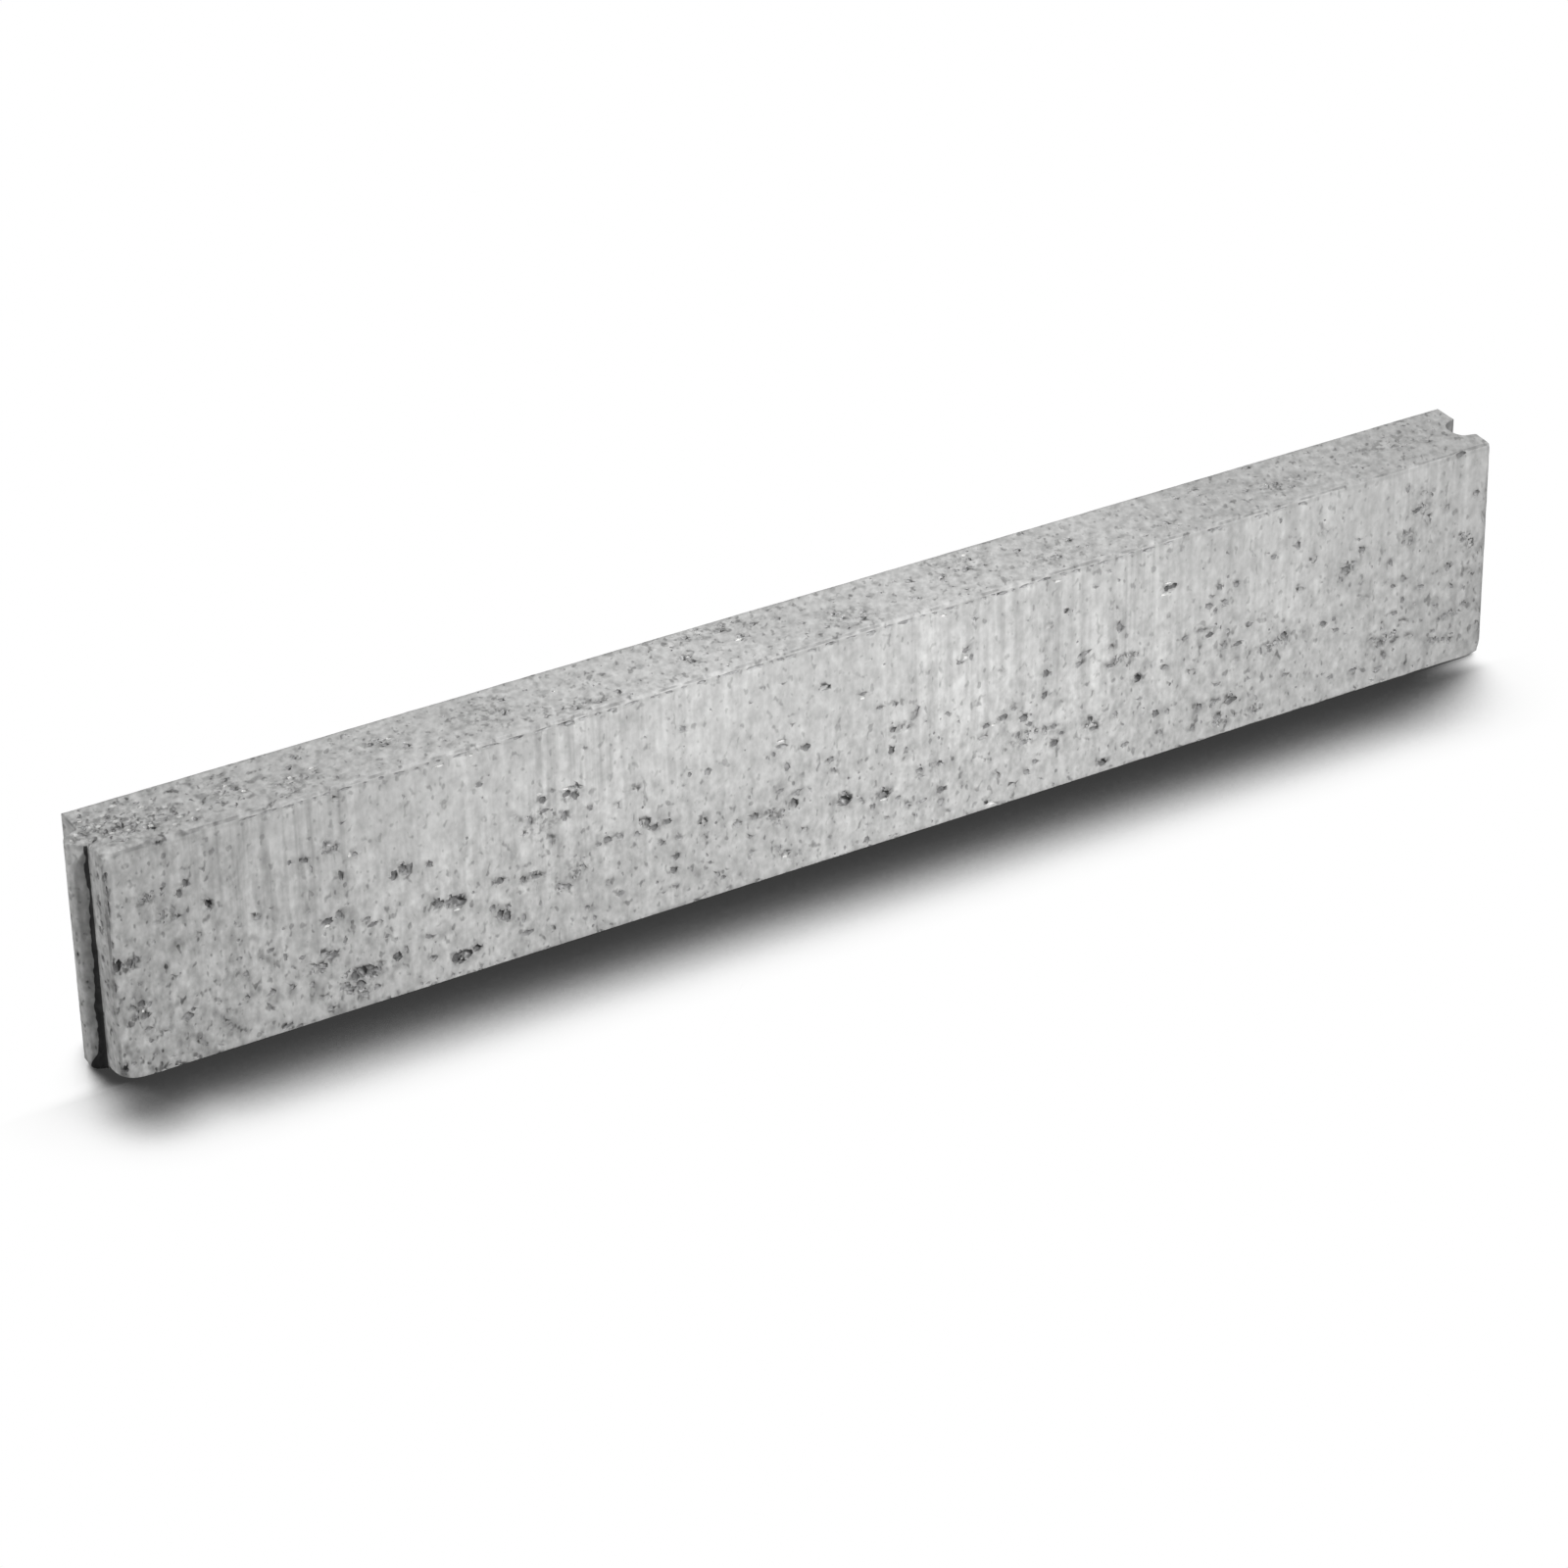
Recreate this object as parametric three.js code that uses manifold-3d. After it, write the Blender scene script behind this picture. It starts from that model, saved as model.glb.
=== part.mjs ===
import * as THREE from 'three';
import { mergeVertices } from 'three/addons/utils/BufferGeometryUtils.js';
import Module from 'manifold-3d';

// A cast concrete kerb stone that joins its neighbours end to end by a tongue and a groove.
// Millimetres, +Z up. The origin is on the bed, halfway along and halfway across the body.
// -X is the tongue end, +X is the groove end, -Y is the face that shows.

// The body between its two end faces.
const BODY_LENGTH = 1000;
const BODY_THICKNESS = 60;
const BODY_HEIGHT = 160;

// Rounding of the long edges, the upright edges and the upper end edges.
const ARRIS_RADIUS = 2;
// The lower end edges are a little rounder: the stone is stood up and dragged on them.
const FOOT_RADIUS = 3;

// The joint. Tongue and groove share one centre line, measured from the face that shows.
const JOINT_FROM_FRONT = 28;
const TONGUE_LENGTH = 11;
const TONGUE_ROOT_WIDTH = 18;
const TONGUE_NOSE_WIDTH = 9;
const TONGUE_NOSE_RADIUS = 4;
// The foot of the tongue slopes in to its nose, so that it rides over grit on the bed.
const TONGUE_FOOT_RADIUS = 7;
// The groove is wider than the tongue on each side, so that a row can be laid to a slight curve.
const JOINT_SIDE_CLEARANCE = 4;
const JOINT_NOSE_CLEARANCE = 2;
const GROOVE_BOTTOM_RADIUS = 9;
// Rounded lips of the groove, which lead the tongue in.
const GROOVE_LIP_RADIUS = 2;

const ARC_STEPS = 6;

const wasm = await Module();
wasm.setup();

const halfLength = BODY_LENGTH / 2;
const halfThickness = BODY_THICKNESS / 2;
const jointY = JOINT_FROM_FRONT - halfThickness;

// An outline through the given corners [x, y, radius], each rounded by an arc of its radius.
function roundedOutline(corners) {
  const shape = new THREE.Shape();
  const count = corners.length;
  corners.forEach(([x, y, radius = 0], i) => {
    const corner = new THREE.Vector2(x, y);
    const previous = corners[(i + count - 1) % count];
    const next = corners[(i + 1) % count];
    const back = new THREE.Vector2(previous[0], previous[1]).sub(corner).normalize();
    const ahead = new THREE.Vector2(next[0], next[1]).sub(corner).normalize();
    const points = [];
    if (radius > 0) {
      const halfAngle = Math.acos(back.dot(ahead)) / 2;
      const inward = back.clone().add(ahead).normalize();
      const centre = corner.clone().addScaledVector(inward, radius / Math.sin(halfAngle));
      const tangent = radius / Math.tan(halfAngle);
      const start = corner.clone().addScaledVector(back, tangent).sub(centre);
      const turn = start.angle();
      const end = corner.clone().addScaledVector(ahead, tangent).sub(centre);
      let sweep = end.angle() - turn;
      if (sweep > Math.PI) sweep -= 2 * Math.PI;
      if (sweep < -Math.PI) sweep += 2 * Math.PI;
      for (let step = 0; step <= ARC_STEPS; step += 1) {
        const angle = turn + sweep * step / ARC_STEPS;
        points.push([centre.x + radius * Math.cos(angle), centre.y + radius * Math.sin(angle)]);
      }
    } else {
      points.push([x, y]);
    }
    points.forEach(([px, py], k) => {
      if (i === 0 && k === 0) shape.moveTo(px, py);
      else shape.lineTo(px, py);
    });
  });
  shape.closePath();
  return shape;
}

function toManifold(geometry) {
  geometry.deleteAttribute('normal');
  geometry.deleteAttribute('uv');
  const merged = mergeVertices(geometry, 1e-5);
  return new wasm.Manifold(new wasm.Mesh({
    numProp: 3,
    vertProperties: new Float32Array(merged.attributes.position.array),
    triVerts: new Uint32Array(merged.index.array),
  }));
}

function fromManifold(solid) {
  const mesh = solid.getMesh();
  const geometry = new THREE.BufferGeometry();
  geometry.setAttribute('position', new THREE.BufferAttribute(new Float32Array(mesh.vertProperties), 3));
  geometry.setIndex(new THREE.BufferAttribute(new Uint32Array(mesh.triVerts), 1));
  geometry.computeVertexNormals();
  return geometry;
}

// An outline in X and Y, raised along Z from `low` to `high`.
function upright(outline, low, high) {
  const geometry = new THREE.ExtrudeGeometry(outline, { depth: high - low, bevelEnabled: false });
  geometry.translate(0, 0, low);
  return toManifold(geometry);
}

// An outline in X and Z, carried along Y from -half to +half.
function across(outline, half) {
  const geometry = new THREE.ExtrudeGeometry(outline, { depth: 2 * half, bevelEnabled: false });
  geometry.rotateX(Math.PI / 2);
  geometry.translate(0, half, 0);
  return toManifold(geometry);
}

// An outline in Y and Z, carried along X from -half to +half.
function along(outline, half) {
  const geometry = new THREE.ExtrudeGeometry(outline, { depth: 2 * half, bevelEnabled: false });
  geometry.rotateX(Math.PI / 2);
  geometry.rotateZ(Math.PI / 2);
  geometry.translate(-half, 0, 0);
  return toManifold(geometry);
}

// Body seen from above, with the groove let into its +X end.
const grooveDepth = TONGUE_LENGTH + JOINT_NOSE_CLEARANCE;
const grooveMouthHalf = TONGUE_ROOT_WIDTH / 2 + JOINT_SIDE_CLEARANCE;
const grooveBottomHalf = TONGUE_NOSE_WIDTH / 2 + JOINT_SIDE_CLEARANCE;
const bodyPlan = roundedOutline([
  [-halfLength, -halfThickness, ARRIS_RADIUS],
  [halfLength, -halfThickness, ARRIS_RADIUS],
  [halfLength, jointY - grooveMouthHalf, GROOVE_LIP_RADIUS],
  [halfLength - grooveDepth, jointY - grooveBottomHalf, GROOVE_BOTTOM_RADIUS],
  [halfLength - grooveDepth, jointY + grooveBottomHalf, GROOVE_BOTTOM_RADIUS],
  [halfLength, jointY + grooveMouthHalf, GROOVE_LIP_RADIUS],
  [halfLength, halfThickness, ARRIS_RADIUS],
  [-halfLength, halfThickness, ARRIS_RADIUS],
]);

// Body seen from the front, on its rounder feet, and seen from the end.
const bodyElevation = roundedOutline([
  [-halfLength, 0, FOOT_RADIUS],
  [halfLength, 0, FOOT_RADIUS],
  [halfLength, BODY_HEIGHT, ARRIS_RADIUS],
  [-halfLength, BODY_HEIGHT, ARRIS_RADIUS],
]);
const bodySection = roundedOutline([
  [-halfThickness, 0, ARRIS_RADIUS],
  [halfThickness, 0, ARRIS_RADIUS],
  [halfThickness, BODY_HEIGHT, ARRIS_RADIUS],
  [-halfThickness, BODY_HEIGHT, ARRIS_RADIUS],
]);

// Tongue seen from above and from the front. It runs on into the body past the rounded end edges.
const tongueNoseX = -halfLength - TONGUE_LENGTH;
const tongueRootX = -halfLength;
const tongueBuriedX = tongueRootX + 2 * TONGUE_FOOT_RADIUS;
const tonguePlan = roundedOutline([
  [tongueNoseX, jointY + TONGUE_NOSE_WIDTH / 2, TONGUE_NOSE_RADIUS],
  [tongueNoseX, jointY - TONGUE_NOSE_WIDTH / 2, TONGUE_NOSE_RADIUS],
  [tongueRootX, jointY - TONGUE_ROOT_WIDTH / 2],
  [tongueBuriedX, jointY - TONGUE_ROOT_WIDTH / 2],
  [tongueBuriedX, jointY + TONGUE_ROOT_WIDTH / 2],
  [tongueRootX, jointY + TONGUE_ROOT_WIDTH / 2],
]);
const tongueElevation = roundedOutline([
  [tongueNoseX, 0, TONGUE_FOOT_RADIUS],
  [tongueBuriedX, 0],
  [tongueBuriedX, BODY_HEIGHT],
  [tongueNoseX, BODY_HEIGHT, ARRIS_RADIUS],
]);

const body = upright(bodyPlan, 0, BODY_HEIGHT)
  .intersect(across(bodyElevation, halfThickness))
  .intersect(along(bodySection, halfLength));
const tongue = upright(tonguePlan, 0, BODY_HEIGHT)
  .intersect(across(tongueElevation, halfThickness));

const concrete = new THREE.MeshStandardMaterial({ color: 0xb5b5b3, roughness: 0.92, metalness: 0 });
const kerbStone = new THREE.Mesh(fromManifold(body.add(tongue)), concrete);
kerbStone.name = 'kerb_stone';

const group = new THREE.Group();
group.name = 'kerb_stone_part';
group.add(kerbStone);

export default group;
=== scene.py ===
from math import copysign, cos, pi, radians, sin
from random import Random

import bmesh
import bpy
from mathutils import Matrix, Vector, noise


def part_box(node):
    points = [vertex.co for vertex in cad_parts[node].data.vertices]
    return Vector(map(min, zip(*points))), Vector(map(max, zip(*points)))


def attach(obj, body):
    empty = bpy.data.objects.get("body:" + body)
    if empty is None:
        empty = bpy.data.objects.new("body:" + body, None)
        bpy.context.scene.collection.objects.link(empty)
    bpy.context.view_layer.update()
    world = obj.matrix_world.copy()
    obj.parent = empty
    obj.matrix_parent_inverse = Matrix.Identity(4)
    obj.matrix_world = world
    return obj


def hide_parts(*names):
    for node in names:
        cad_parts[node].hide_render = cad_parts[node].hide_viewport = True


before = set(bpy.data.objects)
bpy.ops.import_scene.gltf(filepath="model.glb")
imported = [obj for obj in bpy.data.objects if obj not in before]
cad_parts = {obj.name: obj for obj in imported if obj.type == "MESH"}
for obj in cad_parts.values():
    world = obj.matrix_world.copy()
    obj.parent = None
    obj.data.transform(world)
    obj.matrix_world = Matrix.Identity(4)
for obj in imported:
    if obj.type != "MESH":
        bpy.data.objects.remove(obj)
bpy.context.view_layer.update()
MM = 0.001


# ---------------------------------------------------------------------------------------------
# The casting. A slim slab of semi-dry concrete, pressed in a steel mould together with the
# tongue on its left end and the groove in its right end, and drawn upright out of the mould.
# ---------------------------------------------------------------------------------------------
low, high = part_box("kerb_stone")
SHOULDER_TO_SHOULDER = 1.0
left_shoulder = -SHOULDER_TO_SHOULDER / 2
right_shoulder = SHOULDER_TO_SHOULDER / 2
front, back = low.y, high.y
bed, top = low.z, high.z

# Differences too small to matter: between corners that are one, in where a corner lies, and between planes.
SAME_CORNER = 0.002 * MM
HAIR = 0.01 * MM
SAME_PLANE = radians(0.5)
casting = bmesh.new()
casting.from_mesh(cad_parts["kerb_stone"].data)
bmesh.ops.remove_doubles(casting, verts=casting.verts, dist=SAME_CORNER)
bmesh.ops.dissolve_limit(casting, angle_limit=SAME_PLANE, verts=casting.verts, edges=casting.edges)


def slice_evenly(bm, faces, axis, start, end, cuts):
    """Cuts the faces by `cuts` planes square to one axis, evenly spaced, halving the work each time."""
    if cuts < 1:
        return
    index = "xyz".index(axis)
    before = (cuts - 1) // 2
    middle = start + (end - start) * (before + 1) / (cuts + 1)
    normal = Vector([float(i == index) for i in range(3)])
    edges = {edge for face in faces for edge in face.edges}
    verts = {vert for face in faces for vert in face.verts}
    cut = bmesh.ops.bisect_plane(bm, geom=[*verts, *edges, *faces], plane_co=normal * middle,
                                 plane_no=normal, dist=SAME_CORNER / 2)
    halves = ([], [])
    for face in cut["geom"]:
        if isinstance(face, bmesh.types.BMFace):
            halves[face.calc_center_median()[index] > middle].append(face)
    slice_evenly(bm, halves[0], axis, start, middle, before)
    slice_evenly(bm, halves[1], axis, middle, end, cuts - 1 - before)


def faces_where(bm, holds):
    """The faces whose middle passes the test."""
    return [face for face in bm.faces if holds(face.calc_center_median())]


def clamp(value):
    return min(1.0, max(0.0, value))


# A grid over all faces, and a finer one in bands at both ends and at the foot and top of each end.
LONG_GRID, GRID = 5 * MM, 4 * MM
END_BAND, END_CUTS = 16 * MM, 7
FOOT_BAND, FOOT_CUTS = 14 * MM, 6
FOOT_LENGTH = 20 * MM
for axis, start, end, grid in (("x", left_shoulder, right_shoulder, LONG_GRID), ("z", bed, top, GRID),
                               ("y", front, back, GRID)):
    slice_evenly(casting, casting.faces[:], axis, start, end, round((end - start) / grid) - 1)
for end, start in ((left_shoulder, left_shoulder), (right_shoulder, right_shoulder - END_BAND)):
    near = faces_where(casting, lambda middle: abs(middle.x - end) < END_BAND)
    slice_evenly(casting, near, "x", start, start + END_BAND, END_CUTS)
for level in (bed, top - FOOT_BAND):
    near = faces_where(casting, lambda middle: abs(middle.x) > right_shoulder - FOOT_LENGTH
                       and 0 < middle.z - level < FOOT_BAND)
    slice_evenly(casting, near, "z", level, level + FOOT_BAND, FOOT_CUTS)

# The lower front arris has stayed sharper than the others, except towards the right end.
ARRIS = 2 * MM
SHARP_ARRIS = 0.7 * MM
DULL_FROM, DULL_LENGTH = 120 * MM, 200 * MM
for vertex in casting.verts:
    into = Vector((vertex.co.y - front, vertex.co.z - bed))
    if max(into) < ARRIS + HAIR and abs(vertex.co.x) < right_shoulder - ARRIS:
        dulled = clamp((vertex.co.x - DULL_FROM) / DULL_LENGTH)
        radius = SHARP_ARRIS + (ARRIS - SHARP_ARRIS) * dulled
        outward = (into - Vector((ARRIS, ARRIS))) / ARRIS
        vertex.co.y, vertex.co.z = front + radius * (1 + outward.x), bed + radius * (1 + outward.y)

# The upper front arris is broken down towards the left end, where the stone has been levered.
WORN_LENGTH, WORN_BAND, WORN_CUTS = 95 * MM, 10 * MM, 4
WORN_MORE = 3.6 * MM
UNEVEN, UNEVEN_NOISE = 0.8, 160
worn_end = left_shoulder + WORN_LENGTH
near = faces_where(casting, lambda middle: middle.x < worn_end and middle.y < front + ARRIS / 2)
slice_evenly(casting, near, "z", top - WORN_BAND, top, WORN_CUTS)
near = faces_where(casting, lambda middle: middle.x < worn_end and middle.z > top - ARRIS / 2)
slice_evenly(casting, near, "y", front, front + WORN_BAND, WORN_CUTS)
for vertex in casting.verts:
    wear_and_edge_shade = 1.0 - clamp((vertex.co.x - left_shoulder) / WORN_LENGTH)
    uneven = 1.0 + UNEVEN * noise.noise(vertex.co.x * Vector((UNEVEN_NOISE, 0, 0)))
    radius = ARRIS + WORN_MORE * wear_and_edge_shade * uneven
    offset = Vector((front + radius - vertex.co.y, vertex.co.z - top + radius))
    if vertex.co.x > left_shoulder - HAIR and min(offset) > 0 and offset.length > radius:
        offset *= radius / offset.length
        vertex.co.y, vertex.co.z = front + radius - offset.x, top - radius + offset.y

# Where the stone is stood up and set down its corners are worn: place, reach, roundness, loss of height.
WORN_CORNERS = [
    ((left_shoulder, front, bed), 16 * MM, 10 * MM, 4 * MM),
    ((left_shoulder, back, bed), 14 * MM, 8 * MM, 3 * MM),
    ((left_shoulder, front, top), 12 * MM, 6 * MM, 2.5 * MM),
    ((left_shoulder, front + 19 * MM, top), 7 * MM, 0, 2.5 * MM),
    ((right_shoulder, front, bed), 12 * MM, 5 * MM, 2 * MM),
    ((right_shoulder, back, bed), 14 * MM, 8 * MM, 3 * MM),
    ((right_shoulder, front, top), 8 * MM, 4 * MM, 1 * MM),
]
# How fast the roundness fades with height, how far what stuck out still does, and how far the loss spreads.
FADE = 0.7
LEFT_OVER = 0.04
LOSS_ALONG, LOSS_UP = 1.2, 1.5
for vertex in casting.verts:
    for corner, reach, roundness, loss in WORN_CORNERS:
        corner = Vector(corner)
        up = abs(vertex.co.z - corner.z) / reach
        if up >= 1.0 or (vertex.co - corner).length > 2 * reach:
            continue
        radius = roundness * (1.0 - up) ** FADE
        centre = corner.xy - Vector((copysign(radius, corner.x), copysign(radius, corner.y)))
        offset = vertex.co.xy - centre
        on_body = abs(vertex.co.x) < right_shoulder + HAIR
        if on_body and offset.x * corner.x > 0 and offset.y * corner.y > 0 and offset.length > radius > 0:
            vertex.co.xy = centre + offset.normalized() * (radius + LEFT_OVER * (offset.length - radius))
        near = (max(0.0, 1.0 - (vertex.co.xy - corner.xy).length / (LOSS_ALONG * reach)) ** 2
                * max(0.0, 1.0 - LOSS_UP * up))
        vertex.co.z += loss * near * (1 if corner.z < top / 2 else -1)

# The mould faces are a little wavy, and the arrises crumble more than the faces between them: the depth of
# each, and the scale of its noise. A place is on an arris when its normal turns away from all three axes.
FACE_WAVE, WAVE_NOISE = 0.25 * MM, 22.0
FACE_GRIT, GRIT_NOISE = 0.10 * MM, 210.0
ARRIS_CRUMBLE, CRUMBLE_NOISE = 0.9 * MM, 95.0
CRUMBLE_PLACE = Vector((3.0, 8.0, 1.0))
FLAT, TURNED = 0.995, 0.1


def noise_share(place):
    """Noise from 0 to 1."""
    return 0.5 + 0.5 * noise.noise(place)


casting.normal_update()
moves = []
for vertex in casting.verts:
    turn = max(abs(vertex.normal.x), abs(vertex.normal.y), abs(vertex.normal.z))
    on_arris = clamp((FLAT - turn) / TURNED)
    wave = noise_share(vertex.co * WAVE_NOISE)
    grit = noise_share(vertex.co * GRIT_NOISE)
    crumble = noise_share(vertex.co * CRUMBLE_NOISE + CRUMBLE_PLACE)
    depth = FACE_WAVE * wave + FACE_GRIT * grit + on_arris * ARRIS_CRUMBLE * crumble ** 2
    moves.append((vertex, vertex.normal * -depth))
for vertex, move in moves:
    vertex.co += move

mesh = bpy.data.meshes.new("kerb_stone_cast")
casting.to_mesh(mesh)
casting.free()
kerb = bpy.data.objects.new("kerb_stone_cast", mesh)
bpy.context.scene.collection.objects.link(kerb)


# ---------------------------------------------------------------------------------------------
# The voids. Semi-dry concrete doesn't close up everywhere against the mould: it leaves single
# blow holes, nests of small pits where the stones show, fine pores, and nicks in the arrises.
# ---------------------------------------------------------------------------------------------
SKIN, WALL, FRESH_AND_HIGHLIGHT = range(3)


class Voids:
    """Rough pebbles of nothing, kept in layers in which none touches another."""

    # How far a pebble bulges, in lumps and in knobs, the scale of their noise, and how far both may take it.
    LUMP, LUMP_NOISE = 0.5, 1.7
    KNOB, KNOB_NOISE = 0.4, 3.3
    LUMPY_REACH = 1.4
    # Pebbles farther apart than this along the stone can't touch.
    # Dust and painted shade spread this far past a void.
    TOO_FAR = 30 * MM
    HALO = 1.6 * MM
    # How far apart the pebbles of a worm are, in half widths, and how far it bends at each.
    LINK, BEND = 1.2, 0.9

    def __init__(self, seed):
        self.random = Random(seed)
        self.layers = []
        self.dust_and_shade_spots = []
        self.pebble = bpy.data.meshes.new("pebble")

    def layer_for(self, centre, reach):
        for pebbles, bm in self.layers:
            if all((centre - c).length > reach + r for c, r in pebbles if abs(centre.x - c.x) < self.TOO_FAR):
                pebbles.append((centre, reach))
                return bm
        bm = bmesh.new()
        self.layers.append(([(centre, reach)], bm))
        return bm

    def carve(self, centre, along, up, depth, tilt=0.0, face="y", fine=False, slot=WALL):
        """One void: half sizes along the face, up the face and into it."""
        size = {"y": (along, depth, up), "z": (along, up, depth), "x": (depth, along, up)}[face]
        seed = Vector([self.random.uniform(-50, 50) for _ in range(3)])
        turn = Matrix.Rotation(tilt, 3, face.upper())
        bm = bmesh.new()
        bmesh.ops.create_icosphere(bm, subdivisions=1 if fine else 2, radius=1.0)
        for vertex in bm.verts:
            lump = 1.0 + self.LUMP * noise.noise(vertex.co * self.LUMP_NOISE + seed)
            if not fine:
                lump += self.KNOB * noise.noise(vertex.co * self.KNOB_NOISE - seed)
            vertex.co = centre + turn @ Vector([c * s * lump for c, s in zip(vertex.co, size)])
        for polygon in bm.faces:
            polygon.material_index = slot
        bm.to_mesh(self.pebble)
        bm.free()
        self.layer_for(centre, self.LUMPY_REACH * max(size)).from_mesh(self.pebble)

    def dust_and_shade(self, centre, along, up, amount):
        """Dust and painted shade lie in the void there, and just round it."""
        self.dust_and_shade_spots.append((centre, along + self.HALO, up + self.HALO, amount))

    def worm(self, place, heading, size, links, face="y", fine=False):
        """A short crooked gap between the stones: a few pebbles in a row, each touching the last."""
        ahead = Vector((0, 1, 0)) if face == "x" else Vector((1, 0, 0))
        across = Vector((0, 1, 0)) if face == "z" else Vector((0, 0, 1))
        for _ in range(links):
            wide = size * self.random.uniform(0.9, 1.4)
            thin = size * self.random.uniform(0.7, 1.0)
            self.carve(place, wide, thin, size * self.random.uniform(0.4, 1.0), face=face,
                       tilt=-heading if face == "y" else heading, fine=fine)
            place = place + self.LINK * wide * (cos(heading) * ahead + sin(heading) * across)
            heading += self.random.uniform(-self.BEND, self.BEND)


voids = Voids(seed=11)
rand = voids.random
LENGTH = SHOULDER_TO_SHOULDER / MM

# Places on the front face, in millimetres from the left shoulder and up from the bed.
# Single blow holes: along, up, width, height.
DARK_HOLES = [
    (226, 14, 7, 7), (233, 15, 8, 6), (240, 17, 6, 5), (229, 11, 6, 3), (4, 83, 5, 8), (745, 123.5, 5, 3.6),
    (750.5, 124.2, 5, 3.4), (748, 123.9, 4, 3), (532, 36, 8, 5), (503, 40, 9, 7), (797, 25, 10, 4.5),
    (3, 9, 4, 9), (162, 26, 8, 7), (230, 54, 8, 6), (65, 107, 4, 7), (697, 8, 6, 5), (723, 63, 6, 7),
]
DEEP_HOLES = [
    (12, 82, 5, 6), (47, 120, 4, 6), (51, 126, 4, 6), (129, 116, 5, 4), (152, 98, 3, 8), (193, 90, 5, 6),
    (187, 87, 4, 8), (143, 45, 9, 4), (186, 29, 6, 6), (157, 24, 6, 8), (165, 28, 8, 4), (160, 18, 7, 5),
    (169, 24, 5, 6), (226, 56, 9, 5), (216, 57, 7, 4), (258, 60, 6, 5), (257, 36, 5, 8), (262, 33, 5, 8),
    (17, 52, 5, 5), (11, 51, 5, 4), (19, 43, 5, 4), (141, 69, 8, 5), (289, 108, 5, 5), (306, 107, 6, 5),
    (312, 104, 5, 5), (283, 55, 8, 3), (274, 56, 4, 4), (275, 17, 8, 3), (333, 66, 5, 4), (361, 69, 4, 6),
    (366, 64, 6, 4), (376, 65, 6, 4), (381, 38, 5, 5), (379, 29, 5, 5), (438, 49, 6, 5), (466, 50, 5, 8),
    (476, 88, 6, 5), (539, 81, 5, 4), (538, 66, 5, 6), (574, 26, 6, 5), (608, 63, 5, 4), (621, 65, 7, 5),
    (636, 60, 7, 5), (653, 88, 4, 6), (652, 72, 4, 5), (660, 34, 6, 5), (703, 79, 8, 3), (738, 32, 6, 5),
    (687, 44, 4, 4), (690, 36, 7, 3), (779, 79, 5, 4), (801, 66, 7, 3), (838, 62, 5, 5), (869, 61, 5, 4),
    (886, 97, 6, 5), (941, 125, 7, 3), (772, 27, 5, 5), (916, 32, 5, 5), (976, 158, 9, 4),
]
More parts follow.
